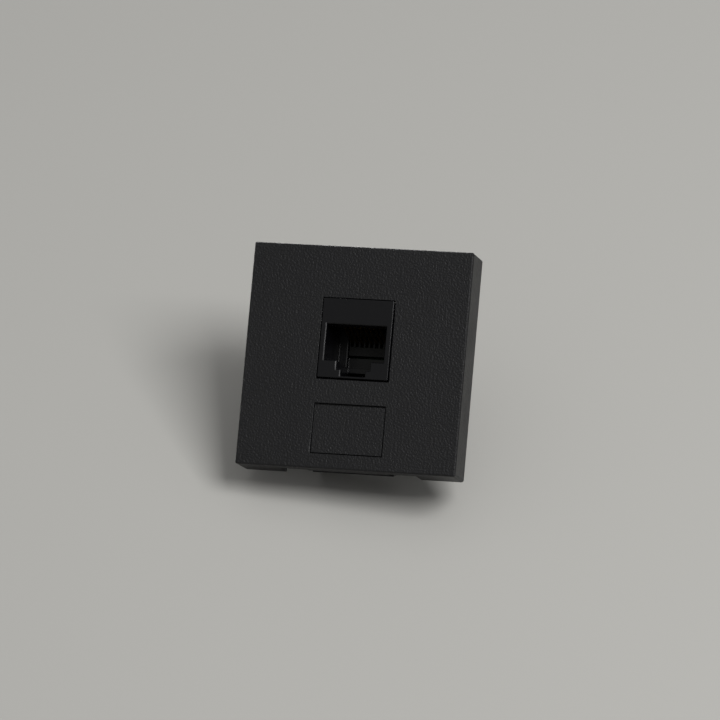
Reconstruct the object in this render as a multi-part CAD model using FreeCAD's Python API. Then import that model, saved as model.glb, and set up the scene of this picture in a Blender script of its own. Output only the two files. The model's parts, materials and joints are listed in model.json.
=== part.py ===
import FreeCAD, Part
import math
import os

# Snap-in wall module with a keystone ethernet jack, built as separate solids.
# X runs to the right and Z up as seen from the front, and Y runs into the wall.
# The origin is the centre of the square front face. Lengths are in millimetres.

# Front plate and its skirt
FACE_SIZE = 45.0
FACE_THICKNESS = 2.2
SKIRT_DEPTH = 8.7
SKIRT_WALL = 1.8
EDGE_RADIUS = 0.25
CORNER_RADIUS = 0.5

# Recessed label field below the jack
LABEL_WIDTH = 14.7
LABEL_HEIGHT = 10.15
LABEL_DEPTH = 0.7
LABEL_MARGIN = 3.0

# Snap tabs and rail notches in the top and bottom of the skirt
LEG_WIDTH = 8.7
LIP_DEPTH = 3.2
TAB_WIDTH = 16.7
TAB_THICKNESS = 2.6
TAB_SHOULDER = 4.4
RAIL_THICKNESS = 3.5
RAIL_GROOVE = 1.2
BARB_LENGTH = 6.7
BARB_TIP_INSET = 0.2
BARB_END_INSET = 1.8
TAB_ROOT = 1.0

# Keystone port behind the plate
PORT_CENTRE_Z = 3.75
PORT_WALL = 1.5
PORT_DEPTH = 10.0
CHAMBER_GAP = 0.6
CATCH_LENGTH = 1.6
CATCH_GAP = 0.15
RIB_THICKNESS = 1.2
RIB_DEPTH = 3.8

# Jack housing in the port
JACK_GAP_SIDE = 0.2
JACK_GAP_TOP = 0.14
JACK_GAP_BOTTOM = 0.3
JACK_PROUD = 0.3
JACK_EDGE = 0.2
SIDE_WALL = 0.62
FLOOR_WALL = 0.45
TOP_WALL = 1.05

# Plug cavity, with the keyway and the slot for the plug's own latch
CAVITY_WIDTH = 12.2
CAVITY_HEIGHT = 7.35
CAVITY_DEPTH = 12.45
MOUTH_CHAMFER = 0.2
KEYWAY_WIDTH = 6.9
KEYWAY_HEIGHT = 1.8
KEYWAY_DEPTH = 10.3
SLOT_WIDTH = 5.0
SLOT_HEIGHT = 1.25
FRONT_WALL = 1.7
LINTEL_DEPTH = 3.9
POCKET_HEIGHT = 2.0
POCKET_DEPTH = 3.6

# Fixed hook below the jack and sprung latch above it
HOOK_WIDTH = 9.0
HOOK_HEIGHT = 1.9
HOOK_LENGTH = 1.8
LATCH_WIDTH = 6.5
LATCH_THICKNESS = 0.9
LATCH_LIFT = 0.65
LATCH_ROOT = 1.6
LATCH_TOOTH = 1.2
LATCH_RAMP = 1.8
LATCH_LAND = 1.8
LATCH_BACK_RAMP = 0.9
LATCH_PAD = 2.0
LATCH_SETBACK = 0.85

# Contact carrier and its comb
CARRIER_GAP = 0.1
LEDGE_WIDTH = 0.5
LEDGE_STEP = 0.4
CARRIER_ROOF = 1.0
COMB_WIDTH = 8.1
COMB_LENGTH = 3.05
COMB_DROP = 4.9
COMB_SILL = 1.8
COMB_SLOT_DEPTH = 1.45
COMB_GAP = 0.35
RECESS_DEPTH = 0.9

# Spring contacts
CONTACT_COUNT = 8
CONTACT_PITCH = 1.016
STRIP_WIDTH = 0.46
STRIP_THICKNESS = 0.34
STRIP_GAP = 0.08
ROW_LOW = 1.2
ROW_HIGH = 2.6
FOLD_SETBACK = 0.7
TIP_RISE = 0.55
TIP_REACH = 1.0
SPRING_DROP = 0.05

# Circuit board
BOARD_THICKNESS = 1.2
BOARD_GAP = 0.1
HOLE_GAP = 0.1
PIN_SETBACK = 0.1

# Insulation displacement block
BLOCK_RIM = 1.15
BASE_THICKNESS = 2.8
FIN_HEIGHT = 6.8
FIN_INNER = 2.9
FIN_TIP = 0.7
FIN_TAPER = 1.5
WIRE_SLOT = 1.1
SLOT_PITCH = 3.7
SLOTS_PER_SIDE = 4
END_FIN = 1.0
ARM_HEIGHT = 6.0
ARM_THICKNESS = 0.9
ARM_GAP = 0.05
ARM_SETBACK = 0.6
ARM_LENGTH = 4.6
ARM_FRAME = 0.8
BLOCK_CORNER = 0.6

# Insulation displacement terminals
TERMINAL_X = 5.4
TERMINAL_THICKNESS = 0.45
TERMINAL_WIDTH = 2.5
TERMINAL_GAP = 0.08
TERMINAL_SETBACK = 0.6
SLIT_WIDTH = 0.36
SLIT_FLOOR = 0.6
SLIT_MOUTH = 1.1
SLIT_LEAD = 0.9
TAIL_WIDTH = 0.6

# Wire cap over the terminals
CAP_GAP = 0.15
CAP_SEAT_GAP = 0.2
CAP_WALL = 0.9
CAP_END = 1.2
CAP_HEADROOM = 1.0
CAP_CORNER = 0.6
CABLE_HOLE = 7.0
EXIT_WIDTH = 1.9
EXIT_LENGTH = 5.2
STUFFER_GAP = 0.2
STUFFER_REACH = 3.8
STUFFER_RELIEF = 0.35
GRIP_WIDTH = 0.8
GRIP_DEPTH = 0.3
GRIP_COUNT = 4
GRIP_PITCH = 1.7

# Jack and port sizes that follow
CARRIER_THICKNESS = ROW_HIGH + CARRIER_ROOF
JACK_WIDTH = CAVITY_WIDTH + 2 * (LEDGE_WIDTH + SIDE_WALL)
JACK_HEIGHT = (FLOOR_WALL + SLOT_HEIGHT + KEYWAY_HEIGHT + CAVITY_HEIGHT + LEDGE_STEP
               + CARRIER_THICKNESS + CARRIER_GAP + TOP_WALL)
PORT_WIDTH = JACK_WIDTH + 2 * JACK_GAP_SIDE
PORT_HEIGHT = JACK_HEIGHT + JACK_GAP_TOP + JACK_GAP_BOTTOM

# Levels along Z that follow
FACE_HALF = FACE_SIZE / 2
PORT_LOW = PORT_CENTRE_Z - PORT_HEIGHT / 2
PORT_HIGH = PORT_CENTRE_Z + PORT_HEIGHT / 2
JACK_LOW = PORT_LOW + JACK_GAP_BOTTOM
JACK_HIGH = PORT_HIGH - JACK_GAP_TOP
JACK_CENTRE_Z = (JACK_LOW + JACK_HIGH) / 2
SLOT_LOW = JACK_LOW + FLOOR_WALL
KEYWAY_LOW = SLOT_LOW + SLOT_HEIGHT
CAVITY_LOW = KEYWAY_LOW + KEYWAY_HEIGHT
CAVITY_HIGH = CAVITY_LOW + CAVITY_HEIGHT
CARRIER_LOW = CAVITY_HIGH + LEDGE_STEP
CARRIER_HIGH = CARRIER_LOW + CARRIER_THICKNESS
COMB_LOW = CARRIER_LOW - COMB_DROP
COMB_SLOT_LOW = COMB_LOW + COMB_SILL
LATCH_LOW = JACK_HIGH + LATCH_LIFT
LATCH_HIGH = LATCH_LOW + LATCH_THICKNESS
TOOTH_HIGH = LATCH_HIGH + LATCH_TOOTH
CHAMBER_LOW = JACK_LOW - HOOK_HEIGHT - CHAMBER_GAP
CHAMBER_HIGH = TOOTH_HIGH + CHAMBER_GAP

# Stations along Y that follow
PLATE_MIDDLE = FACE_THICKNESS / 2
JACK_FRONT = -JACK_PROUD
CATCH_FRONT = PORT_DEPTH - CATCH_LENGTH
LINTEL_BACK = JACK_FRONT + LINTEL_DEPTH
COMB_FRONT = JACK_FRONT + CAVITY_DEPTH
ARM_FRONT = PORT_DEPTH + ARM_SETBACK
HOUSING_BACK = max(COMB_FRONT + COMB_LENGTH, ARM_FRONT + ARM_LENGTH)
BOARD_BACK = HOUSING_BACK + BOARD_THICKNESS
BASE_BACK = BOARD_BACK + BASE_THICKNESS
BASE_MIDDLE = (BOARD_BACK + BASE_BACK) / 2
FIN_BACK = BASE_BACK + FIN_HEIGHT
CAP_FRONT = BASE_BACK + CAP_SEAT_GAP
CAP_INSIDE = FIN_BACK + CAP_HEADROOM
CAP_BACK = CAP_INSIDE + CAP_END

# Half widths that follow
JACK_HALF = JACK_WIDTH / 2
PORT_HALF = PORT_WIDTH / 2
CAVITY_HALF = CAVITY_WIDTH / 2
CARRIER_HALF = CAVITY_HALF + LEDGE_WIDTH - CARRIER_GAP
COMB_HALF = COMB_WIDTH / 2
ARM_INSIDE = JACK_HALF + ARM_GAP
BLOCK_HALF = ARM_INSIDE + ARM_THICKNESS
FIN_OUTER = BLOCK_HALF - CAP_WALL - CAP_GAP
FIN_STACK_HALF = (SLOTS_PER_SIDE - 1) * SLOT_PITCH / 2 + WIRE_SLOT / 2 + END_FIN
BLOCK_HALF_HEIGHT = FIN_STACK_HALF + CAP_GAP + CAP_WALL
BOARD_HALF_WIDTH = BLOCK_HALF - BLOCK_RIM - BOARD_GAP
BOARD_HALF_HEIGHT = BLOCK_HALF_HEIGHT - BLOCK_RIM - BOARD_GAP
HOLE_RADIUS = math.hypot(STRIP_WIDTH, STRIP_THICKNESS) / 2 + HOLE_GAP
TAIL_HOLE_RADIUS = math.hypot(TAIL_WIDTH, TERMINAL_THICKNESS) / 2 + HOLE_GAP

# Length below which an edge counts as flat or straight
TOLERANCE = 1e-6

# Repeated places
CONTACT_X = [(index - (CONTACT_COUNT - 1) / 2) * CONTACT_PITCH for index in range(CONTACT_COUNT)]
SLOT_ROWS = range(SLOTS_PER_SIDE)
SLOT_Z = [JACK_CENTRE_Z + (row - (SLOTS_PER_SIDE - 1) / 2) * SLOT_PITCH for row in SLOT_ROWS]


def span(centre, size):
    """Low and high ends of a length about its centre."""
    return (centre - size / 2, centre + size / 2)


def both_ways(half):
    """Low and high ends of a length about zero."""
    return (-half, half)


def block(x, y, z):
    """Box between low and high ends along each axis."""
    corner = FreeCAD.Vector(x[0], y[0], z[0])
    return Part.makeBox(x[1] - x[0], y[1] - y[0], z[1] - z[0], corner)


def extrude(points, travel):
    """Solid swept from a closed polygon along a straight line."""
    face = Part.Face(Part.makePolygon(points + points[:1]))
    return face.extrude(travel)


def prism_x(outline, x):
    """Solid along X with an outline of (y, z) points."""
    points = [FreeCAD.Vector(x[0], y, z) for y, z in outline]
    return extrude(points, FreeCAD.Vector(x[1] - x[0], 0, 0))


def rod_y(radius, x, z, y):
    """Round bar along Y."""
    return Part.makeCylinder(radius, y[1] - y[0], FreeCAD.Vector(x, y[0], z), FreeCAD.Vector(0, 1, 0))


def mirrored_x(shape):
    """Copy of a shape on the other side of the middle plane."""
    return shape.mirror(FreeCAD.Vector(0, 0, 0), FreeCAD.Vector(1, 0, 0))


def edges_along_y(shape):
    """Straight edges that run into the wall."""
    boxes = [(edge, edge.BoundBox) for edge in shape.Edges]
    return [edge for edge, box in boxes if max(box.XLength, box.ZLength) < TOLERANCE]


def edges_at_y(shape, station):
    """Edges that lie in one plane across Y."""
    boxes = [(edge, edge.BoundBox) for edge in shape.Edges]
    return [edge for edge, box in boxes if max(box.YMax - station, station - box.YMin) < TOLERANCE]


def snap_tab(side):
    """Sprung tab whose groove takes the rail of a frame and whose barb locks behind it."""
    groove_end = TAB_SHOULDER + RAIL_THICKNESS
    insets = [
        (PLATE_MIDDLE, EDGE_RADIUS),
        (FACE_THICKNESS, 0.0),
        (TAB_SHOULDER, 0.0),
        (TAB_SHOULDER, RAIL_GROOVE),
        (groove_end, RAIL_GROOVE),
        (groove_end, BARB_TIP_INSET),
        (groove_end + BARB_LENGTH, BARB_END_INSET),
        (groove_end + BARB_LENGTH, TAB_THICKNESS),
        (FACE_THICKNESS + TAB_ROOT, TAB_THICKNESS),
        (FACE_THICKNESS, TAB_THICKNESS + TAB_ROOT),
        (PLATE_MIDDLE, TAB_THICKNESS + TAB_ROOT),
    ]
    outline = [(y, side * (FACE_HALF - inset)) for y, inset in insets]
    return prism_x(outline, both_ways(TAB_WIDTH / 2))


def port_walls():
    """Outside of the box behind the plate that holds the jack."""
    return block(
        both_ways(PORT_HALF + PORT_WALL),
        (PLATE_MIDDLE, PORT_DEPTH),
        (CHAMBER_LOW - PORT_WALL, CHAMBER_HIGH + PORT_WALL),
    )


def port_space():
    """Way through the port: front opening, chamber and the narrower gap between its catches."""
    width = both_ways(PORT_HALF)
    opening = block(width, (0, PORT_DEPTH), (PORT_LOW, PORT_HIGH))
    chamber = block(width, (FACE_THICKNESS, CATCH_FRONT), (CHAMBER_LOW, CHAMBER_HIGH))
    catch_gap = block(width, (CATCH_FRONT, PORT_DEPTH), (PORT_LOW, LATCH_HIGH + CATCH_GAP))
    return opening.fuse([chamber, catch_gap])


def faceplate():
    """One moulding: textured front, skirt with corner legs, snap tabs, port and label field."""
    width = both_ways(FACE_HALF)
    shell = block(width, (0, SKIRT_DEPTH), width)
    shell = shell.makeFillet(CORNER_RADIUS, edges_along_y(shell))
    shell = shell.makeFillet(EDGE_RADIUS, edges_at_y(shell, 0))
    hollow = both_ways(FACE_HALF - SKIRT_WALL)
    shell = shell.cut(block(hollow, (FACE_THICKNESS, SKIRT_DEPTH), hollow))
    notches = block(both_ways(FACE_HALF - LEG_WIDTH), (LIP_DEPTH, SKIRT_DEPTH), width)
    rib = block(
        (PORT_HALF, FACE_HALF - SKIRT_WALL / 2),
        (PLATE_MIDDLE, FACE_THICKNESS + RIB_DEPTH),
        span(PORT_CENTRE_Z, RIB_THICKNESS),
    )
    label_low = LABEL_MARGIN - FACE_HALF
    label = block(both_ways(LABEL_WIDTH / 2), (0, LABEL_DEPTH), (label_low, label_low + LABEL_HEIGHT))
    plate = shell.cut(notches)
    plate = plate.fuse([snap_tab(-1), snap_tab(1), rib, mirrored_x(rib), port_walls()])
    return plate.cut([port_space(), label]).removeSplitter()


def mouth_outline(grow, y):
    """Stepped outline of the plug opening, enlarged all round."""
    half_outline = [
        (CAVITY_HALF + grow, CAVITY_HIGH + grow),
        (CAVITY_HALF + grow, CAVITY_LOW - grow),
        (KEYWAY_WIDTH / 2 + grow, CAVITY_LOW - grow),
        (KEYWAY_WIDTH / 2 + grow, KEYWAY_LOW - grow),
        (SLOT_WIDTH / 2 + grow, KEYWAY_LOW - grow),
        (SLOT_WIDTH / 2 + grow, SLOT_LOW - grow),
    ]
    points = half_outline + [(-x, z) for x, z in reversed(half_outline)]
    vectors = [FreeCAD.Vector(x, y, z) for x, z in points]
    return Part.makePolygon(vectors + vectors[:1])


def plug_space():
    """Space for a plug: chamfered mouth, cavity, keyway and the chamber and pocket for its latch."""
    mouth = [mouth_outline(MOUTH_CHAMFER, JACK_FRONT), mouth_outline(0, JACK_FRONT + MOUTH_CHAMFER)]
    chamfer = Part.makeLoft(mouth, True, True)
    keyway_y = (JACK_FRONT, JACK_FRONT + KEYWAY_DEPTH)
    cavity = block(both_ways(CAVITY_HALF), (JACK_FRONT, COMB_FRONT), (CAVITY_LOW, CAVITY_HIGH))
    keyway = block(both_ways(KEYWAY_WIDTH / 2), keyway_y, (KEYWAY_LOW, CAVITY_LOW))
    slot = block(both_ways(SLOT_WIDTH / 2), keyway_y, (SLOT_LOW, KEYWAY_LOW))
    latch_chamber = block(
        both_ways(KEYWAY_WIDTH / 2),
        (JACK_FRONT + FRONT_WALL, keyway_y[1]),
        (SLOT_LOW, KEYWAY_LOW),
    )
    pocket = block(
        both_ways(KEYWAY_WIDTH / 2),
        (keyway_y[1], keyway_y[1] + POCKET_DEPTH),
        (SLOT_LOW, SLOT_LOW + POCKET_HEIGHT),
    )
    return chamfer.fuse([cavity, keyway, slot, latch_chamber, pocket])


def carrier_space():
    """Pocket that takes the contact carrier from the back, and the recess below its comb."""
    slab = block(
        both_ways(CARRIER_HALF + CARRIER_GAP),
        (LINTEL_BACK, HOUSING_BACK),
        (CARRIER_LOW, CARRIER_HIGH + CARRIER_GAP),
    )
    step = block(both_ways(CAVITY_HALF), (LINTEL_BACK, COMB_FRONT), (CAVITY_HIGH, CARRIER_LOW))
    width = both_ways(COMB_HALF + CARRIER_GAP)
    comb = block(width, (COMB_FRONT, HOUSING_BACK), (COMB_LOW - COMB_GAP, CARRIER_LOW))
    recess = block(width, (COMB_FRONT, COMB_FRONT + RECESS_DEPTH), (CAVITY_LOW, COMB_LOW))
    return slab.fuse([step, comb, recess])


def fixed_hook():
    """Pair of lugs below the jack that hold the port's lower catch between them."""
    gap = (CATCH_FRONT - CATCH_GAP, PORT_DEPTH + CATCH_GAP)
    height = (JACK_LOW - HOOK_HEIGHT, JACK_LOW)
    width = both_ways(HOOK_WIDTH / 2)
    front = block(width, (gap[0] - HOOK_LENGTH, gap[0]), height)
    back = block(width, (gap[1], gap[1] + HOOK_LENGTH), height)
    return [front, back]


def sprung_latch():
    """Arm above the jack, with a tooth on each side of the port's upper catch and a thumb pad."""
    tooth_front = CATCH_FRONT - CATCH_GAP
    land_front = tooth_front - LATCH_LAND
    tooth_back = PORT_DEPTH + CATCH_GAP
    root_front = FACE_THICKNESS + LATCH_SETBACK
    land_back = tooth_back + LATCH_LAND
    ramp_end = land_back + LATCH_BACK_RAMP
    arm_end = ramp_end + LATCH_PAD
    outline = [
        (root_front, JACK_HIGH - JACK_EDGE),
        (root_front, LATCH_HIGH),
        (land_front - LATCH_RAMP, LATCH_HIGH),
        (land_front, TOOTH_HIGH),
        (tooth_front, TOOTH_HIGH),
        (tooth_front, LATCH_HIGH),
        (tooth_back, LATCH_HIGH),
        (tooth_back, TOOTH_HIGH),
        (land_back, TOOTH_HIGH),
        (ramp_end, LATCH_HIGH),
        (arm_end, LATCH_HIGH),
        (arm_end, LATCH_LOW),
        (root_front + LATCH_ROOT, LATCH_LOW),
        (root_front + LATCH_ROOT, JACK_HIGH - JACK_EDGE),
    ]
    return prism_x(outline, both_ways(LATCH_WIDTH / 2))


def arm_window():
    """Low and high ends, along Y and Z, of the window in an arm of the terminal block."""
    along = (ARM_FRONT + ARM_FRAME, HOUSING_BACK - ARM_FRAME)
    return along, span(JACK_CENTRE_Z, ARM_HEIGHT - 2 * ARM_FRAME)


def side_bump():
    """Wedge on the jack's side that fills the window of the arm that snaps over it."""
    along, height = arm_window()
    front = along[0] + ARM_GAP
    back = along[1] - ARM_GAP
    reach = JACK_HALF + ARM_THICKNESS
    inside = JACK_HALF - SIDE_WALL / 2
    outline = [(inside, front), (reach, front), (JACK_HALF, back), (inside, back)]
    points = [FreeCAD.Vector(x, y, height[0] + ARM_GAP) for x, y in outline]
    return extrude(points, FreeCAD.Vector(0, 0, height[1] - height[0] - 2 * ARM_GAP))


def jack_housing():
    """Moulded jack body with the plug opening, carrier pocket, hook, latch and snap bumps."""
    body = block(both_ways(JACK_HALF), (JACK_FRONT, HOUSING_BACK), (JACK_LOW, JACK_HIGH))
    body = body.makeFillet(JACK_EDGE, edges_at_y(body, JACK_FRONT) + edges_along_y(body))
    bump = side_bump()
    body = body.fuse(fixed_hook() + [sprung_latch(), bump, mirrored_x(bump)])
    return body.cut([plug_space(), carrier_space()]).removeSplitter()


def strip_level(index):
    """Height of a contact's upper run: neighbours alternate between two rows."""
    return CARRIER_LOW + (ROW_LOW if index % 2 == 0 else ROW_HIGH)


def contact_carrier():
    """Slab that lies on the housing's ledges, with a groove for each contact and a comb for its tip."""
    front = LINTEL_BACK + CARRIER_GAP
    slab = block(both_ways(CARRIER_HALF), (front, HOUSING_BACK), (CARRIER_LOW, CARRIER_HIGH))
    comb = block(both_ways(COMB_HALF), (COMB_FRONT, HOUSING_BACK), (COMB_LOW, CARRIER_LOW))
    cuts = []
    groove_width = STRIP_WIDTH + 2 * STRIP_GAP
    for index, x in enumerate(CONTACT_X):
        top = strip_level(index) + STRIP_THICKNESS / 2 + STRIP_GAP
        width = span(x, groove_width)
        cuts.append(block(width, (front, HOUSING_BACK), (CARRIER_LOW, top)))
        cuts.append(block(width, (COMB_FRONT, COMB_FRONT + COMB_SLOT_DEPTH), (COMB_SLOT_LOW, CARRIER_LOW)))
    return slab.fuse(comb).cut(cuts).removeSplitter()


def strip_side(centre, radius, slope, run, leg):
    """One side of a contact seen along X: its upper run, its fold and its free leg."""
    along_leg = FreeCAD.Vector(0, math.cos(slope), -math.sin(slope))
    across_leg = FreeCAD.Vector(0, math.sin(slope), math.cos(slope))
    to_middle = FreeCAD.Vector(0, -math.cos(slope / 2), math.sin(slope / 2))
    fold_start = centre + FreeCAD.Vector(0, 0, radius)
    fold_end = centre - across_leg * radius
    return Part.Wire([
        Part.LineSegment(fold_start + FreeCAD.Vector(0, run, 0), fold_start).toShape(),
        Part.Arc(fold_start, centre + to_middle * radius, fold_end).toShape(),
        Part.LineSegment(fold_end, fold_end + along_leg * leg).toShape(),
    ])


def contact(index):
    """Flat spring strip: a run from the board, a fold at the front and a free leg down into the comb."""
    level = strip_level(index)
    fold_front = LINTEL_BACK + FOLD_SETBACK
    tip_y = COMB_FRONT + TIP_REACH
    tip_z = COMB_SLOT_LOW + TIP_RISE
    slope = math.atan2(CARRIER_LOW - SPRING_DROP - tip_z, tip_y - fold_front)
    gap = (fold_front - tip_y) * math.sin(slope) + (level - tip_z) * math.cos(slope)
    radius = gap / (1 + math.cos(slope) - math.sin(slope))
    centre = FreeCAD.Vector(CONTACT_X[index] - STRIP_WIDTH / 2, fold_front + radius, level - radius)
    run = BOARD_BACK - PIN_SETBACK - centre.y
    leg = (tip_y - centre.y) * math.cos(slope) + (centre.z - tip_z) * math.sin(slope)
    radii = [radius + offset for offset in both_ways(STRIP_THICKNESS / 2)]
    sides = [strip_side(centre, side_radius, slope, run, leg) for side_radius in radii]
    ends = [(side.OrderedVertexes[0].Point, side.OrderedVertexes[-1].Point) for side in sides]
    edges = [Part.LineSegment(low, high).toShape() for low, high in zip(*ends)]
    for side in sides:
        edges += side.Edges
    outline = Part.Wire(Part.sortEdges(edges)[0])
    return Part.Face(outline).extrude(FreeCAD.Vector(STRIP_WIDTH, 0, 0))


def circuit_board():
    """Board between the housing and the terminal block, drilled for contacts and terminal tails."""
    y = (HOUSING_BACK, BOARD_BACK)
    board = block(both_ways(BOARD_HALF_WIDTH), y, span(JACK_CENTRE_Z, 2 * BOARD_HALF_HEIGHT))
    holes = [rod_y(HOLE_RADIUS, x, strip_level(index), y) for index, x in enumerate(CONTACT_X)]
    for z in SLOT_Z:
        holes += [rod_y(TAIL_HOLE_RADIUS, x, z, y) for x in both_ways(TERMINAL_X)]
    return board.cut(holes)


def fin(z, thickness, taper_low, taper_high):
    """Wall between two wire slots, tapered at its tip towards each slot."""
    low, high = span(z, thickness)
    tip_low = z - FIN_TIP / 2 if taper_low else low
    tip_high = z + FIN_TIP / 2 if taper_high else high
    shoulder = FIN_BACK - FIN_TAPER
    outline = [
        (BASE_MIDDLE, low),
        (shoulder, low),
        (FIN_BACK, tip_low),
        (FIN_BACK, tip_high),
        (shoulder, high),
        (BASE_MIDDLE, high),
    ]
    return prism_x(outline, (FIN_INNER, FIN_OUTER))


def fins():
    """One column of fins: full ones between the slots and thin ones at the ends."""
    full = SLOT_PITCH - WIRE_SLOT
    column = [fin((low + high) / 2, full, True, True) for low, high in zip(SLOT_Z, SLOT_Z[1:])]
    end_offset = WIRE_SLOT / 2 + END_FIN / 2
    column.append(fin(SLOT_Z[0] - end_offset, END_FIN, False, True))
    column.append(fin(SLOT_Z[-1] + end_offset, END_FIN, True, False))
    return column


def terminal_pocket(z):
    """Slot through the block for one terminal, with room for it all round."""
    return block(
        span(TERMINAL_X, TERMINAL_THICKNESS + 2 * TERMINAL_GAP),
        (BOARD_BACK, FIN_BACK),
        span(z, TERMINAL_WIDTH + 2 * TERMINAL_GAP),
    )


def snap_arm():
    """Side arm that reaches forward over the jack, with a window for its bump."""
    along, height = arm_window()
    side = (ARM_INSIDE, BLOCK_HALF)
    arm = block(side, (ARM_FRONT, BOARD_BACK), span(JACK_CENTRE_Z, ARM_HEIGHT))
    return arm.cut(block(side, along, height))


def idc_block():
    """Rear block: rim round the board, base, two columns of fins and two snap arms."""
    height = span(JACK_CENTRE_Z, 2 * BLOCK_HALF_HEIGHT)
    base = block(both_ways(BLOCK_HALF), (HOUSING_BACK, BASE_BACK), height)
    base = base.makeFillet(BLOCK_CORNER, edges_along_y(base))
    board_room = block(
        both_ways(BOARD_HALF_WIDTH + BOARD_GAP),
        (HOUSING_BACK, BOARD_BACK),
        span(JACK_CENTRE_Z, 2 * (BOARD_HALF_HEIGHT + BOARD_GAP)),
    )
    column = fins() + [snap_arm()]
    base = base.fuse(column + [mirrored_x(piece) for piece in column])
    pockets = [terminal_pocket(z) for z in SLOT_Z]
    return base.cut([board_room] + pockets + [mirrored_x(pocket) for pocket in pockets]).removeSplitter()


def terminal(side, z):
    """Flat fork that cuts through a wire's insulation, with a tail in the board."""
    foot = BOARD_BACK + PIN_SETBACK
    tip = FIN_BACK - TERMINAL_SETBACK
    slit_end = BASE_BACK + SLIT_FLOOR
    half_outline = [
        (HOUSING_BACK + PIN_SETBACK, TAIL_WIDTH / 2),
        (foot, TAIL_WIDTH / 2),
        (foot, TERMINAL_WIDTH / 2),
        (tip, TERMINAL_WIDTH / 2),
        (tip, SLIT_MOUTH / 2),
        (tip - SLIT_LEAD, SLIT_WIDTH / 2),
        (slit_end, SLIT_WIDTH / 2),
    ]
    outline = [(y, z + half) for y, half in half_outline]
    outline += [(y, z - half) for y, half in reversed(half_outline)]
    return prism_x(outline, span(side * TERMINAL_X, TERMINAL_THICKNESS))


def stuffers(z):
    """Ribs inside the cap, on both sides of a terminal, that press a wire home."""
    relief = TERMINAL_THICKNESS / 2 + STUFFER_RELIEF
    along = (CAP_INSIDE - STUFFER_REACH, CAP_INSIDE)
    height = span(z, WIRE_SLOT - 2 * STUFFER_GAP)
    widths = ((FIN_INNER, TERMINAL_X - relief), (TERMINAL_X + relief, FIN_OUTER))
    return [block(x, along, height) for x in widths]


def wire_exit(z):
    """Round-ended slot in the cap's side that a wire leaves by."""
    x = (FIN_OUTER, BLOCK_HALF)
    round_centre = CAP_FRONT + EXIT_LENGTH - EXIT_WIDTH / 2
    straight = block(x, (CAP_FRONT, round_centre), span(z, EXIT_WIDTH))
    end_centre = FreeCAD.Vector(x[0], round_centre, z)
    end = Part.makeCylinder(EXIT_WIDTH / 2, x[1] - x[0], end_centre, FreeCAD.Vector(1, 0, 0))
    return straight.fuse(end)


def grip_grooves():
    """Finger grooves across the cap's upper and lower walls."""
    middle = (CAP_FRONT + CAP_BACK) / 2
    edges = (JACK_CENTRE_Z - BLOCK_HALF_HEIGHT, JACK_CENTRE_Z + BLOCK_HALF_HEIGHT)
    grooves = []
    for index in range(GRIP_COUNT):
        y = middle + (index - (GRIP_COUNT - 1) / 2) * GRIP_PITCH
        for z in edges:
            groove = block(both_ways(BLOCK_HALF / 2), span(y, GRIP_WIDTH), span(z, 2 * GRIP_DEPTH))
            grooves.append(groove)
    return grooves


def wire_cap():
    """Push-on cap: cable hole at the back, wire exits at the sides and stuffer ribs inside."""
    height = span(JACK_CENTRE_Z, 2 * BLOCK_HALF_HEIGHT)
    cap = block(both_ways(BLOCK_HALF), (CAP_FRONT, CAP_BACK), height)
    cap = cap.makeFillet(CAP_CORNER, edges_at_y(cap, CAP_BACK) + edges_along_y(cap))
    room = block(
        both_ways(FIN_OUTER + CAP_GAP),
        (CAP_FRONT, CAP_INSIDE),
        span(JACK_CENTRE_Z, 2 * (FIN_STACK_HALF + CAP_GAP)),
    )
    cable_hole = rod_y(CABLE_HOLE / 2, 0, JACK_CENTRE_Z, (CAP_INSIDE, CAP_BACK))
    exits = [wire_exit(z) for z in SLOT_Z]
    cap = cap.cut([room, cable_hole] + exits + [mirrored_x(way) for way in exits] + grip_grooves())
    ribs = [rib for z in SLOT_Z for rib in stuffers(z)]
    return cap.fuse(ribs + [mirrored_x(rib) for rib in ribs]).removeSplitter()


def all_pieces():
    """Every piece of the module by name."""
    pieces = {
        "faceplate": faceplate(),
        "jack_housing": jack_housing(),
        "contact_carrier": contact_carrier(),
        "circuit_board": circuit_board(),
        "idc_block": idc_block(),
        "wire_cap": wire_cap(),
    }
    for index in range(CONTACT_COUNT):
        pieces["contact_%d" % (index + 1)] = contact(index)
    places = [(side, z) for side in (-1, 1) for z in SLOT_Z]
    for number, (side, z) in enumerate(places, start=1):
        pieces["idc_terminal_%d" % number] = terminal(side, z)
    return pieces


os.makedirs("parts", exist_ok=True)
for name, shape in all_pieces().items():
    shape.exportStep("parts/%s.step" % name)
    print(name, shape.isValid(), len(shape.Solids), round(shape.Volume, 3))
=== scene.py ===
import json
import logging
import math
from collections.abc import Callable
from dataclasses import dataclass
from enum import Enum

import bpy
from mathutils import Matrix, Quaternion, Vector

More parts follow.
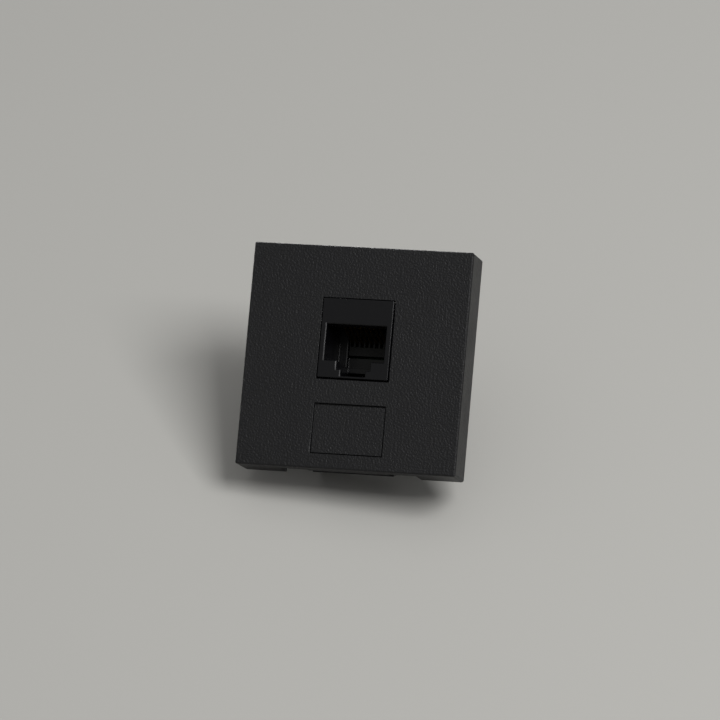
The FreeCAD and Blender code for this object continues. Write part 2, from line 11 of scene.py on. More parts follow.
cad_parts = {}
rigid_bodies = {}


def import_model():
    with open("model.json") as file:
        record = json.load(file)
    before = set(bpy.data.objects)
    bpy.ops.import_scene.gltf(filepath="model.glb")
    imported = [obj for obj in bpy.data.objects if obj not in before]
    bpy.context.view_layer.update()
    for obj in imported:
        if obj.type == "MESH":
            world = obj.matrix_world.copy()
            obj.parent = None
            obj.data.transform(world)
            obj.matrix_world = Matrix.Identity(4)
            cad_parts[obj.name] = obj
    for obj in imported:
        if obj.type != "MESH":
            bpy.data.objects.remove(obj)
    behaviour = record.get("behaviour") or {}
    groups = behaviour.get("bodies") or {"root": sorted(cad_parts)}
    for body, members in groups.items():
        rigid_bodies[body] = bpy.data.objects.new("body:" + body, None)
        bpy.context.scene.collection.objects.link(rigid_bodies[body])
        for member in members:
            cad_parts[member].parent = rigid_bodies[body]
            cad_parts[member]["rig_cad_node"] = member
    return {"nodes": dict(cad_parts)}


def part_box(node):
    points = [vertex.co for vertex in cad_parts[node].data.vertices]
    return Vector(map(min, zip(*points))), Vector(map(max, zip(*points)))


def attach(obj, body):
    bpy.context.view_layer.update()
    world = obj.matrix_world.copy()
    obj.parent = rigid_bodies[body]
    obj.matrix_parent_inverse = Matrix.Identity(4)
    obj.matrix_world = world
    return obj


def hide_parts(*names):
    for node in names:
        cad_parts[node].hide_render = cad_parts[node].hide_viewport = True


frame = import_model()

# A snap-in wall module with an ethernet jack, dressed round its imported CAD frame.
# Lengths are in metres in Blender, and fields that end in _mm are in millimetres.
# X runs to the right and Z up as seen from the front, and Y runs into the wall.

log = logging.getLogger("module_scene")

MM = 0.001
# Points of a CAD mesh that lie closer than this are one point.
WELD_MM = 0.001
# Triangles that meet at a smaller angle than this belong to one flat face.
FLAT_DEG = 0.2
# Edges that bend more than this are sharp.
SHARP_DEG = 35.0
# Cosine from which a face counts as facing along an axis.
FACING = 0.9
# Strips of a large rounding and of the small one that a mould leaves.
ROUND_SEGMENTS = 3
EDGE_SEGMENTS = 2
# Large faces keep their own normals, and the roundings beside them take up the turn.
FACE_AREA_WEIGHT = 100
# Name under which Blender keeps the share of a bevel on each edge.
EDGE_SHARES = "bevel_weight_edge"

NodeSettings = dict[str | int, object]
NodeLinks = dict[str | int, bpy.types.NodeSocket]


class Body(Enum):
    """Bodies of the CAD frame that pieces ride on."""

    MODULE = "module"
    CAP = "cap"


class Slot(Enum):
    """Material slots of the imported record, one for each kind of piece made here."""

    PLATE = "plate_black"
    JACK = "jack_black"
    CARRIER = "carrier_black"
    BLOCK = "block_black"
    CAP = "cap_black"


def linear(hex_colour: str) -> tuple[float, float, float, float]:
    """Turns an sRGB hex colour into linear values.

    Args:
        hex_colour: six hex digits.

    Returns:
        Linear red, green and blue, with an alpha of one.
    """
    shares = [int(hex_colour[place:place + 2], 16) / 255 for place in (0, 2, 4)]
    values = [
        share / 12.92 if share <= 0.04045 else ((share + 0.055) / 1.055) ** 2.4
        for share in shares]
    return (values[0], values[1], values[2], 1.0)


def per_metre(size_mm: float) -> float:
    """Scale of a texture whose features have a size in millimetres."""
    return 1.0 / (size_mm * MM)


def add_node(
        tree: bpy.types.NodeTree, kind: str, settings: NodeSettings, links: NodeLinks,
) -> bpy.types.Node:
    """Adds a node with its settings and links.

    Args:
        tree: node tree that takes the node.
        kind: Blender's name of the node type.
        settings: values by the name of a property, or by the name or number of an input socket.
        links: output sockets by the name or number of the input socket that they feed.

    Returns:
        The new node.
    """
    node = tree.nodes.new(kind)
    for name, value in settings.items():
        if hasattr(node, str(name)):
            setattr(node, str(name), value)
        else:
            node.inputs[name].default_value = value
    for name, source in links.items():
        tree.links.new(source, node.inputs[name])
    return node


def empty_material(name: str) -> tuple[bpy.types.Material, bpy.types.NodeTree]:
    """Makes a material with an empty node tree.

    Args:
        name: name of the material.

    Returns:
        The material and its node tree.
    """
    material = bpy.data.materials.new(name)
    material.use_nodes = True
    material.node_tree.nodes.clear()
    return material, material.node_tree


@dataclass(frozen=True)
class MouldCore:
    """Space behind a moulding's face that the core of the mould fills.

    The core is ground, so the faces on it have no grain and one even colour.
    """

    front_mm: float
    back_mm: float
    half_mm: float
    worn_share: float = 0.5

    def grain_share(
            self, tree: bpy.types.NodeTree, place: bpy.types.NodeSocket) -> bpy.types.NodeSocket:
        """Adds the nodes that tell the grained outside from the faces on the core.

        Args:
            tree: node tree of the material.
            place: socket with the place on the moulding.

        Returns:
            A socket that gives one on the outside and zero on the core.
        """
        axes = add_node(tree, "ShaderNodeSeparateXYZ", {}, {"Vector": place}).outputs
        across = add_node(tree, "ShaderNodeMath", {"operation": "ABSOLUTE"}, {0: axes["X"]})
        up = add_node(tree, "ShaderNodeMath", {"operation": "ABSOLUTE"}, {0: axes["Z"]})
        from_middle = add_node(
            tree, "ShaderNodeMath", {"operation": "MAXIMUM"},
            {0: across.outputs[0], 1: up.outputs[0]})
        outside = add_node(
            tree, "ShaderNodeMath", {"operation": "GREATER_THAN", 1: self.half_mm * MM},
            {0: from_middle.outputs[0]})
        at_face = add_node(
            tree, "ShaderNodeMath", {"operation": "LESS_THAN", 1: self.front_mm * MM},
            {0: axes["Y"]})
        before_back = add_node(
            tree, "ShaderNodeMath", {"operation": "LESS_THAN", 1: self.back_mm * MM},
            {0: axes["Y"]})
        either = add_node(
            tree, "ShaderNodeMath", {"operation": "MAXIMUM"},
            {0: outside.outputs[0], 1: at_face.outputs[0]})
        grained = add_node(
            tree, "ShaderNodeMath", {"operation": "MULTIPLY"},
            {0: either.outputs[0], 1: before_back.outputs[0]})
        return grained.outputs[0]


@dataclass(frozen=True)
class MouldedPlastic:
    """Injection-moulded thermoplastic that carries the grain of its mould.

    The grain breaks the gloss into fine specks, and slow changes of gloss show where the melt
    flowed.
    """

    name: str
    colour: str
    worn_colour: str
    roughness: float
    roughness_spread: float
    grain_mm: float
    grain_height_mm: float
    grain_detail: float = 2.0
    grain_fineness: float = 0.6
    flow_mm: float = 9.0
    flow_detail: float = 3.0
    flow_span: tuple[float, float] = (0.3, 0.7)
    ior: float = 1.53
    specular: float = 0.5
    core: MouldCore | None = None

    def material(self) -> bpy.types.Material:
        """Builds the node material of this plastic.

        The Mix node's sockets for values and colours share their names, so they go by number.

        Returns:
            The new material.
        """
        material, tree = empty_material(self.name)
        place = add_node(tree, "ShaderNodeTexCoord", {}, {}).outputs["Object"]
        grain = add_node(
            tree, "ShaderNodeTexNoise",
            {"Scale": per_metre(self.grain_mm), "Detail": self.grain_detail,
             "Roughness": self.grain_fineness},
            {"Vector": place}).outputs["Fac"]
        flow = add_node(
            tree, "ShaderNodeTexNoise",
            {"Scale": per_metre(self.flow_mm), "Detail": self.flow_detail}, {"Vector": place})
        rough = add_node(
            tree, "ShaderNodeMapRange",
            {"From Min": self.flow_span[0], "From Max": self.flow_span[1],
             "To Min": self.roughness - self.roughness_spread,
             "To Max": self.roughness + self.roughness_spread},
            {"Value": flow.outputs["Fac"]})
        bump_links: NodeLinks = {"Height": grain}
        worn = grain
        if self.core is not None:
            grained = self.core.grain_share(tree, place)
            bump_links["Strength"] = grained
            even = add_node(
                tree, "ShaderNodeMix", {2: self.core.worn_share}, {0: grained, 3: grain})
            worn = even.outputs[0]
        bump = add_node(
            tree, "ShaderNodeBump",
            {"Strength": 1.0, "Distance": self.grain_height_mm * MM}, bump_links)
        tint = add_node(
            tree, "ShaderNodeMix",
            {"data_type": "RGBA", 6: linear(self.colour), 7: linear(self.worn_colour)}, {0: worn})
        shader = add_node(
            tree, "ShaderNodeBsdfPrincipled",
            {"IOR": self.ior, "Specular IOR Level": self.specular},
            {"Base Color": tint.outputs[2], "Roughness": rough.outputs["Result"],
             "Normal": bump.outputs["Normal"]})
        add_node(tree, "ShaderNodeOutputMaterial", {}, {"Surface": shader.outputs["BSDF"]})
        return material


@dataclass(frozen=True)
class PlatedMetal:
    """Drawn or stamped spring metal with a plated skin, with fine lines along its length."""

    name: str
    colour: str
    roughness: float
    line_mm: float
    line_stretch: float = 0.05
    roughness_shares: tuple[float, float] = (0.7, 1.4)

    def material(self) -> bpy.types.Material:
        """Builds the node material of this metal.

        Returns:
            The new material.
        """
        material, tree = empty_material(self.name)
        place = add_node(tree, "ShaderNodeTexCoord", {}, {}).outputs["Object"]
        stretched = add_node(
            tree, "ShaderNodeMapping", {"Scale": (1.0, self.line_stretch, 1.0)}, {"Vector": place})
        lines = add_node(
            tree, "ShaderNodeTexNoise", {"Scale": per_metre(self.line_mm)},
            {"Vector": stretched.outputs["Vector"]})
        least, most = self.roughness_shares
        rough = add_node(
            tree, "ShaderNodeMapRange",
            {"To Min": self.roughness * least, "To Max": self.roughness * most},
            {"Value": lines.outputs["Fac"]})
        shader = add_node(
            tree, "ShaderNodeBsdfPrincipled",
            {"Base Color": linear(self.colour), "Metallic": 1.0},
            {"Roughness": rough.outputs["Result"]})
        add_node(tree, "ShaderNodeOutputMaterial", {}, {"Surface": shader.outputs["BSDF"]})
        return material


@dataclass(frozen=True)
class PaperSweep:
    """Matte grey backdrop paper that the camera sees from its upper side only.

    Seen from below, or by a lamp's shadow rays, it lets light through, so that the module's back
    can be lit.
    """

    name: str
    colour: str
    fibre_mm: float
    fibre_detail: float = 4.0
    tooth_mm: float = 0.05
    tooth_strength: float = 0.1
    roughness: float = 0.9

    def material(self) -> bpy.types.Material:
        """Builds the node material of the paper.

        Returns:
            The new material.
        """
        material, tree = empty_material(self.name)
        place = add_node(tree, "ShaderNodeTexCoord", {}, {}).outputs["Object"]
        fibres = add_node(
            tree, "ShaderNodeTexNoise",
            {"Scale": per_metre(self.fibre_mm), "Detail": self.fibre_detail}, {"Vector": place})
        bump = add_node(
            tree, "ShaderNodeBump",
            {"Strength": self.tooth_strength, "Distance": self.tooth_mm * MM},
            {"Height": fibres.outputs["Fac"]})
        paper = add_node(
            tree, "ShaderNodeBsdfPrincipled",
            {"Base Color": linear(self.colour), "Roughness": self.roughness,
             "Specular IOR Level": 0.0},
            {"Normal": bump.outputs["Normal"]})
        clear = add_node(tree, "ShaderNodeBsdfTransparent", {}, {})
        back = add_node(tree, "ShaderNodeNewGeometry", {}, {}).outputs["Backfacing"]
        shadow = add_node(tree, "ShaderNodeLightPath", {}, {}).outputs["Is Shadow Ray"]
        either = add_node(tree, "ShaderNodeMath", {"operation": "MAXIMUM"}, {0: back, 1: shadow})
        both = add_node(
            tree, "ShaderNodeMixShader", {},
            {0: either.outputs[0], 1: paper.outputs["BSDF"], 2: clear.outputs["BSDF"]})
        add_node(tree, "ShaderNodeOutputMaterial", {}, {"Surface": both.outputs["Shader"]})
        return material


# Polycarbonate from a spark-eroded mould: an even dry speckle that spreads the lamp into a soft
# grey sheen. The real pits of about 0.1 mm are too fine to show, so they are drawn at 0.4 mm.
# The core of the mould is only ground, so the inside of the skirt and the tabs have a plain satin.
PLATE_PLASTIC = MouldedPlastic(
    "spark_eroded_black_polycarbonate", colour="020204", worn_colour="0E0E11",
    roughness=0.49, roughness_spread=0.04, grain_mm=0.42, grain_height_mm=0.15, grain_detail=1.0,
    specular=0.29, core=MouldCore(front_mm=1.2, back_mm=8.65, half_mm=21.6))
# ABS from a finely ground mould: smoother than the plate, with a satin glint along its edges.
JACK_PLASTIC = MouldedPlastic(
    "ground_mould_satin_abs", colour="07070A", worn_colour="0A0A0D",
    roughness=0.28, roughness_spread=0.04, grain_mm=0.25, grain_height_mm=0.004, specular=0.22)
# Glass-filled polyester, moulded: a dull black in which short fibres leave faint light flecks.
CARRIER_PLASTIC = MouldedPlastic(
    "moulded_glass_filled_polyester", colour="09090A", worn_colour="0F0F10",
    roughness=0.45, roughness_spread=0.06, grain_mm=0.3, grain_height_mm=0.01, specular=0.25)
# Polyester from a blasted mould: a dry, slightly greyer black than the plate.
BLOCK_PLASTIC = MouldedPlastic(
    "blasted_mould_black_polyester", colour="131314", worn_colour="1A1A1C",
    roughness=0.5, roughness_spread=0.06, grain_mm=0.3, grain_height_mm=0.01)
# The cap comes from a blasted mould too, a little rougher where fingers push it on.
CAP_PLASTIC = MouldedPlastic(
    "blasted_mould_black_polyester_cap", colour="131315", worn_colour="1B1B1D",
    roughness=0.52, roughness_spread=0.06, grain_mm=0.3, grain_height_mm=0.012)
# Screen-printed solder mask on glass laminate: a glossy green, and the weave gives faint waves.
BOARD_LAMINATE = MouldedPlastic(
    "screen_printed_green_solder_mask", colour="1E5A36", worn_colour="276B42",
    roughness=0.3, roughness_spread=0.05, grain_mm=0.8, grain_height_mm=0.01)
# Drawn bronze strip, gold-plated: a warm glint that the drawing lines stretch along the strip.
# Its gold is drawn darker than bright plating. This is partly painted shade, for the shade that
# the contacts lie in under the top of the jack's opening.
# The real lines are finer than a hundredth of a millimetre and are drawn at 0.12 mm to show.
CONTACT_METAL = PlatedMetal(
    "drawn_gold_plated_bronze_shade_darkened", colour="A07C38", roughness=0.3, line_mm=0.12)
# Stamped bronze, tin-plated: a soft grey shine, duller than the gold. Its rolling lines are drawn
# as coarse as those of the contacts.
TERMINAL_METAL = PlatedMetal(
    "stamped_tin_plated_bronze", colour="C9C8C4", roughness=0.35, line_mm=0.12)
# Uncoated backdrop paper: no gloss, only a faint tooth from its fibres.
FLOOR_PAPER = PaperSweep("uncoated_grey_backdrop_paper", colour="B0AFAB", fibre_mm=0.6)


def deselect_all() -> None:
    """Leaves object mode with nothing selected."""
    if bpy.context.object is not None and bpy.context.object.mode != "OBJECT":
        bpy.ops.object.mode_set(mode="OBJECT")
    bpy.ops.object.select_all(action="DESELECT")


def give_material(piece: bpy.types.Object, material: bpy.types.Material) -> None:
    """Makes one material the only one of a piece."""
    piece.data.materials.clear()
    piece.data.materials.append(material)


def select_only(piece: bpy.types.Object) -> None:
    """Makes one piece the active and only selected object.

    Args:
        piece: object to select.
    """
    deselect_all()
    piece.select_set(True)
    bpy.context.view_layer.objects.active = piece


def pick_faces(
        piece: bpy.types.Object, chosen: Callable[[bpy.types.MeshPolygon], bool]) -> None:
    """Enters edit mode with only the chosen faces of a piece selected.

    Args:
        piece: piece to work on.
        chosen: says whether a face is wanted.
    """
    select_only(piece)
    bpy.ops.object.mode_set(mode="EDIT")
    bpy.ops.mesh.select_mode(type="FACE")
    bpy.ops.mesh.select_all(action="DESELECT")
    bpy.ops.object.mode_set(mode="OBJECT")
    for face in piece.data.polygons:
        face.select = chosen(face)
    bpy.ops.object.mode_set(mode="EDIT")


def merged_copy(node_name: str, piece_name: str) -> bpy.types.Object:
    """Copies a CAD node and joins its loose triangles into whole faces.

    Args:
        node_name: CAD node to copy.
        piece_name: name of the copy.

    Returns:
        The copy, in object mode.
    """
    select_only(frame["nodes"][node_name])
    bpy.ops.object.duplicate()
    piece = bpy.context.object
    del piece["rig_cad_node"]
    piece.name = piece_name
    bpy.ops.object.mode_set(mode="EDIT")
    bpy.ops.mesh.select_all(action="SELECT")
    bpy.ops.mesh.remove_doubles(threshold=WELD_MM * MM)
    bpy.ops.mesh.dissolve_limited(angle_limit=math.radians(FLAT_DEG))
    bpy.ops.object.mode_set(mode="OBJECT")
    return piece


def round_edges(
        piece: bpy.types.Object, share: Callable[[Vector, Vector], float],
        radius_mm: float) -> None:
    """Rounds edges of a piece, each by its own share of a radius.

    Args:
        piece: piece to change.
        share: gives, from an edge's two ends, the share of the radius from 0 to 1.
        radius_mm: width of the full rounding on each side of an edge.
    """
    select_only(piece)
    shares = piece.data.attributes.new(EDGE_SHARES, "FLOAT", "EDGE")
    vertices = piece.data.vertices
    for edge in piece.data.edges:
        one, two = edge.vertices
        shares.data[edge.index].value = share(vertices[one].co, vertices[two].co)
    bevel = piece.modifiers.new("rounding", "BEVEL")
    bevel.width = radius_mm * MM
    bevel.segments = ROUND_SEGMENTS
    bevel.limit_method = "WEIGHT"
    bevel.use_clamp_overlap = False
    bpy.ops.object.modifier_apply(modifier=bevel.name)
    piece.data.attributes.remove(piece.data.attributes[EDGE_SHARES])


def soften_edges(
        piece: bpy.types.Object, radius_mm: float, sharp_deg: float = SHARP_DEG) -> None:
    """Rounds every sharp edge of a piece by the small radius that a mould leaves.

    Args:
        piece: piece to change.
        radius_mm: width of the rounding on each side of an edge.
        sharp_deg: angle between faces from which an edge counts as sharp.
    """
    select_only(piece)
    bevel = piece.modifiers.new("mould_radius", "BEVEL")
    bevel.width = radius_mm * MM
    bevel.segments = EDGE_SEGMENTS
    bevel.limit_method = "ANGLE"
    bevel.angle_limit = math.radians(sharp_deg)
    bevel.use_clamp_overlap = False
    bevel.miter_outer = "MITER_ARC"
    bpy.ops.object.modifier_apply(modifier=bevel.name)


def smooth_faces(piece: bpy.types.Object, sharp_deg: float = SHARP_DEG) -> None:
    """Shades a piece smooth across its roundings and keeps its flat faces flat.

    Args:
        piece: piece to change.
        sharp_deg: angle from which an edge stays sharp.
    """
    select_only(piece)
    bpy.ops.object.shade_smooth_by_angle(angle=math.radians(sharp_deg))
    normals = piece.modifiers.new("flat_faces", "WEIGHTED_NORMAL")
    normals.keep_sharp = True
    normals.weight = FACE_AREA_WEIGHT
    bpy.ops.object.modifier_apply(modifier=normals.name)


def finish_piece(
        piece: bpy.types.Object, edge_mm: float, material: bpy.types.Material) -> None:
    """Softens the edges of a moulded piece, shades it and gives it its plastic.

    Args:
        piece: modelled piece.
        edge_mm: width of the rounding on each side of an edge.
        material: its material.
    """
    soften_edges(piece, edge_mm)
    smooth_faces(piece)
    give_material(piece, material)


def join_model(piece: bpy.types.Object, body: Body, slot: Slot, node: str = "") -> None:
    """Makes a piece part of the model.

    Args:
        piece: finished piece.
        body: body that it rides on.
        slot: material slot of the imported record for the piece; not used.
        node: CAD node that it stands for, if any.
    """
    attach(piece, body.value)
    if node:
        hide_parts(node)
    log.info("%s rides on %s", piece.name, body.value)


def plain_moulding(
        node: str, name: str, edge_mm: float, finish: MouldedPlastic, body: Body,
        slot: Slot) -> None:
    """Replaces a CAD node by a moulding of its shape with softened edges.

    Args:
        node: CAD node to replace.
        name: name of the moulding.
        edge_mm: width of the rounding on each side of an edge.
        finish: plastic of the moulding.
        body: body that it rides on.
        slot: material slot of the imported record for the piece; not used.
    """
    piece = merged_copy(node, name)
    finish_piece(piece, edge_mm, finish.material())
    join_model(piece, body, slot, node)


def dress_nodes(names: list[str], material: bpy.types.Material) -> None:
    """Gives CAD nodes whose shape stays as it is their material.

    Args:
        names: the CAD nodes.
        material: their common material.
    """
    for name in names:
        give_material(frame["nodes"][name], material)
        log.info("%s takes %s", name, material.name)


@dataclass
class FrontPlate:
    """Square front moulding with its label panel, and the marks that the mould leaves inside it.

    Fields that end in _share are shares of a mark's radius or height.
    """

    edge_mm: float = 0.12
    rim_mm: float = 0.4
    rim_slack_mm: float = 0.004
    label_half_mm: float = 7.35
    label_low_mm: float = -19.5
    label_high_mm: float = -9.35
    label_depth_mm: float = 0.7
    label_sunk_mm: float = 0.04
    label_side_gap_mm: float = 0.11
    label_low_gap_mm: float = 0.14
    label_top_gap_mm: float = 0.34
    label_draft: float = 0.995
    label_edge_mm: float = 0.06
    back_mm: float = 2.2
    pin_sides: int = 40
    pin_diameter_mm: float = 2.6
    pin_height_mm: float = 0.12
    pin_rim_mm: float = 0.25
    pin_sunk_share: float = 0.6
    pin_edge_mm: float = 0.04
    pin_places_mm: tuple[tuple[float, float], ...] = (
        (-17.0, 17.0), (17.0, 17.0), (-17.0, -17.0), (17.0, -17.0), (-14.5, -3.0), (14.5, -3.0))
    gate_sides: int = 32
    gate_diameter_mm: float = 1.5
    gate_height_mm: float = 0.45
    gate_tip_share: float = 0.7
    gate_lip_share: float = 0.25
    gate_pit_share: float = 0.4
    gate_tear_share: float = 0.2
    gate_peak_share: float = 0.25
    gate_shift_share: float = 0.1
    gate_edge_mm: float = 0.03
    gate_place_mm: tuple[float, float] = (0.0, -11.5)
    finish: MouldedPlastic = PLATE_PLASTIC

    def round_rim(self, plate: bpy.types.Object) -> None:
        """Rounds the rim of the face to what a box with rounder front edges leaves of it.

        The box stands off the plate by a little slack, so that no faces coincide.

        Args:
            plate: copy of the CAD plate, which has a smaller rounding.
        """
        low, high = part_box("faceplate")
        slack = self.rim_slack_mm * MM
        front = low.y - slack
        half = high.x + slack
        length = 2 * (high.y - low.y)
        deselect_all()
        bpy.ops.mesh.primitive_cube_add(
            size=1.0, location=(0.0, front + length / 2, 0.0), scale=(2 * half, length, 2 * half))
        bpy.ops.object.transform_apply()
        gauge = bpy.context.object
        round_edges(
            gauge, lambda one, two: float(max(one.y, two.y) < front + slack), self.rim_mm)
        cut = plate.modifiers.new("rim", "BOOLEAN")
        cut.operation = "INTERSECT"
        cut.solver = "EXACT"
        cut.object = gauge
        select_only(plate)
        bpy.ops.object.modifier_apply(modifier=cut.name)
        bpy.data.objects.remove(gauge)

    def label_panel(self, material: bpy.types.Material) -> bpy.types.Object:
        """Models the panel that fills the label field, flush and with a narrow gap all round.

        Args:
            material: the plate's material.

        Returns:
            The panel, on the floor of its field.
        """
        half = (self.label_half_mm - self.label_side_gap_mm) * MM
        low = (self.label_low_mm + self.label_low_gap_mm) * MM
        high = (self.label_high_mm - self.label_top_gap_mm) * MM
        front = self.label_sunk_mm * MM
        back = self.label_depth_mm * MM
        middle = (low + high) / 2
        deselect_all()
        bpy.ops.mesh.primitive_cube_add(
            size=1.0, location=(0.0, (front + back) / 2, middle),
            scale=(2 * half, back - front, high - low))
        bpy.ops.object.transform_apply()
        panel = bpy.context.object
        panel.name = "label_panel"
        pick_faces(panel, lambda face: face.normal.y < -FACING)
        bpy.ops.transform.resize(
            value=(self.label_draft, 1.0, self.label_draft), center_override=(0.0, front, middle))
        bpy.ops.object.mode_set(mode="OBJECT")
        finish_piece(panel, self.label_edge_mm, material)
        return panel

    def gate_stub(self, material: bpy.types.Material) -> bpy.types.Object:
        """Models the stub that is left where the runner was snapped off the plate's back.

        Args:
            material: the plate's material.

        Returns:
            The stub, in its place.
        """
        height = self.gate_height_mm * MM
        radius = self.gate_diameter_mm * MM / 2
        shift = self.gate_shift_share * radius
        x, z = self.gate_place_mm
        deselect_all()
        bpy.ops.mesh.primitive_cone_add(
            vertices=self.gate_sides, radius1=radius, radius2=self.gate_tip_share * radius,
            depth=2 * height, location=(x * MM, self.back_mm * MM, z * MM),
            rotation=(-math.pi / 2, 0.0, 0.0))
        bpy.ops.object.transform_apply()
        stub = bpy.context.object
        stub.name = "gate_stub"
        pick_faces(stub, lambda face: face.normal.y > FACING)
        bpy.ops.mesh.inset(thickness=self.gate_lip_share * radius)
        bpy.ops.transform.translate(value=(shift, -self.gate_pit_share * height, 0.0))
        bpy.ops.mesh.inset(thickness=self.gate_tear_share * radius)
        bpy.ops.transform.translate(value=(0.0, self.gate_peak_share * height, shift))
        bpy.ops.object.mode_set(mode="OBJECT")
        finish_piece(stub, self.gate_edge_mm, material)
        return stub

    def pin_mark(self, material: bpy.types.Material) -> bpy.types.Object:
        """Models one ejector mark: a low disc with a raised rim, sunk into the plate's back.

        Args:
            material: the plate's material.

        Returns:
            The mark, round the Y axis of the plate.
        """
        height = self.pin_height_mm * MM
        deselect_all()
        bpy.ops.mesh.primitive_cylinder_add(
            vertices=self.pin_sides, radius=self.pin_diameter_mm * MM / 2, depth=2 * height,
            location=(0.0, self.back_mm * MM, 0.0), rotation=(-math.pi / 2, 0.0, 0.0))
        bpy.ops.object.transform_apply()
        mark = bpy.context.object
        pick_faces(mark, lambda face: face.normal.y > FACING)
        bpy.ops.mesh.inset(thickness=self.pin_rim_mm * MM)
        bpy.ops.transform.translate(value=(0.0, -self.pin_sunk_share * height, 0.0))
        bpy.ops.object.mode_set(mode="OBJECT")
        finish_piece(mark, self.pin_edge_mm, material)
        return mark

    def build(self) -> None:
        """Builds the plate, its label panel, its ejector marks and its gate stub."""
        material = self.finish.material()
        plate = merged_copy("faceplate", "faceplate_moulding")
        self.round_rim(plate)
        finish_piece(plate, self.edge_mm, material)
        join_model(plate, Body.MODULE, Slot.PLATE, "faceplate")
        join_model(self.label_panel(material), Body.MODULE, Slot.PLATE)
        first = self.pin_mark(material)
        for number, (x, z) in enumerate(self.pin_places_mm, start=1):
            select_only(first)
            bpy.ops.object.duplicate()
            mark = bpy.context.object
            mark.name = "ejector_mark_%d" % number
            mark.location = (x * MM, 0.0, z * MM)
            bpy.ops.object.transform_apply()
            join_model(mark, Body.MODULE, Slot.PLATE)
        bpy.data.objects.remove(first)
        join_model(self.gate_stub(material), Body.MODULE, Slot.PLATE)


@dataclass
class KeystoneJack:
    """Jack housing with its rounded plug opening, the contact carrier and the spring contacts.

    Fields that end in _share are shares of the full rounding. The housing's chamfers bend by less
    than chamfer_deg and stay crisp, and facet_deg keeps the strips of its roundings apart.
    """

    edge_mm: float = 0.06
    carrier_edge_mm: float = 0.04
    round_mm: float = 0.4
    mouth_upright_share: float = 0.6
    mouth_inner_share: float = 0.07
    mouth_level_share: float = 0.05
    mouth_depth_mm: float = 0.2
    recess_front_mm: float = 12.15
    recess_half_mm: float = 4.15
    chamfer_deg: float = 50.0
    facet_deg: float = 8.0
    near_mm: float = 0.01
    contacts: int = 8
    housing_finish: MouldedPlastic = JACK_PLASTIC
    carrier_finish: MouldedPlastic = CARRIER_PLASTIC
    contact_finish: PlatedMetal = CONTACT_METAL

    def share(self, one: Vector, two: Vector) -> float:
        """How much an edge of the housing is rounded before the mould's own radius.

        The uprights of the plug opening and of the recess behind it are rounder than the rest.

        Args:
            one: first end of the edge.
            two: second end of the edge.

        Returns:
            Share of the full rounding, from 0 to 1.
        """
        near = self.near_mm * MM
        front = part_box("jack_housing")[0].y
        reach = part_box("contact_carrier")[1].x
        recess = self.recess_front_mm * MM
        half = self.recess_half_mm * MM
        ends = (one, two)
        if all(abs(end.y - recess) < near and abs(abs(end.x) - half) < near for end in ends):
            return 1.0
        inner = front + self.mouth_depth_mm * MM
        upright = abs(one.z - two.z) > abs(one.x - two.x)
        for level, share in ((front, self.mouth_upright_share), (inner, self.mouth_inner_share)):
            if all(abs(end.y - level) < near and abs(end.x) < reach for end in ends):
                return share if upright else self.mouth_level_share
        return 0.0

    def build(self) -> None:
        """Builds and dresses the jack."""
        housing = merged_copy("jack_housing", "jack_moulding")
        round_edges(housing, self.share, self.round_mm)
        soften_edges(housing, self.edge_mm, self.chamfer_deg)
        smooth_faces(housing, self.facet_deg)
        give_material(housing, self.housing_finish.material())
        join_model(housing, Body.MODULE, Slot.JACK, "jack_housing")
        plain_moulding(
            "contact_carrier", "carrier_moulding", self.carrier_edge_mm, self.carrier_finish,
            Body.MODULE, Slot.CARRIER)
        names = ["contact_%d" % number for number in range(1, self.contacts + 1)]
        dress_nodes(names, self.contact_finish.material())


@dataclass
class TerminalBlock:
    """Rear block with the forked terminals and the board in front of it."""

    edge_mm: float = 0.08
    terminals: int = 8
    block_finish: MouldedPlastic = BLOCK_PLASTIC
    board_finish: MouldedPlastic = BOARD_LAMINATE
    terminal_finish: PlatedMetal = TERMINAL_METAL

    def build(self) -> None:
        """Builds and dresses the block."""
        plain_moulding(
            "idc_block", "terminal_block_moulding", self.edge_mm, self.block_finish,
            Body.MODULE, Slot.BLOCK)
        dress_nodes(["circuit_board"], self.board_finish.material())
        names = ["idc_terminal_%d" % number for number in range(1, self.terminals + 1)]
        dress_nodes(names, self.terminal_finish.material())


@dataclass
class WireCap:
    """Push-on cap over the terminals."""

    edge_mm: float = 0.08
    finish: MouldedPlastic = CAP_PLASTIC

    def build(self) -> None:
        """Builds and dresses the cap."""
        plain_moulding(
            "wire_cap", "cap_moulding", self.edge_mm, self.finish, Body.CAP, Slot.CAP)


@dataclass
class Floor:
    """Backdrop paper that the leaning module rests on with its lower tab and its cap."""

    lean_deg: float = 50.6
    roll_deg: float = 6.0
    gap_mm: float = 0.02
    width_m: float = 3.0
    finish: PaperSweep = FLOOR_PAPER

    def turn(self) -> Matrix:
        """Turn of the level paper into the module's frame."""
        lean = Matrix.Rotation(math.radians(self.lean_deg), 4, "X")
        return lean @ Matrix.Rotation(math.radians(self.roll_deg), 4, "Y")

    def normal(self) -> Vector:
        """Direction away from the paper in the module's frame."""
        return self.turn().to_3x3() @ Vector((0.0, 0.0, 1.0))

    def height(self) -> float:
        """Finds the level of the paper along its normal.

        Returns:
            A level just below the lowest point of the module.
        """
        normal = self.normal()
        lowest = min(
            normal.dot(vertex.co)
            for node in frame["nodes"].values() for vertex in node.data.vertices)
        return lowest - self.gap_mm * MM

    def build(self) -> None:
        """Lays the paper under the module, on no body of the model."""
        deselect_all()
        bpy.ops.mesh.primitive_plane_add(size=self.width_m)
        floor = bpy.context.object
        floor.name = "backdrop_paper"
        floor.matrix_world = Matrix.Translation(self.normal() * self.height()) @ self.turn()
        give_material(floor, self.finish.material())
        log.info("%s leans %.1f degrees", floor.name, self.lean_deg)


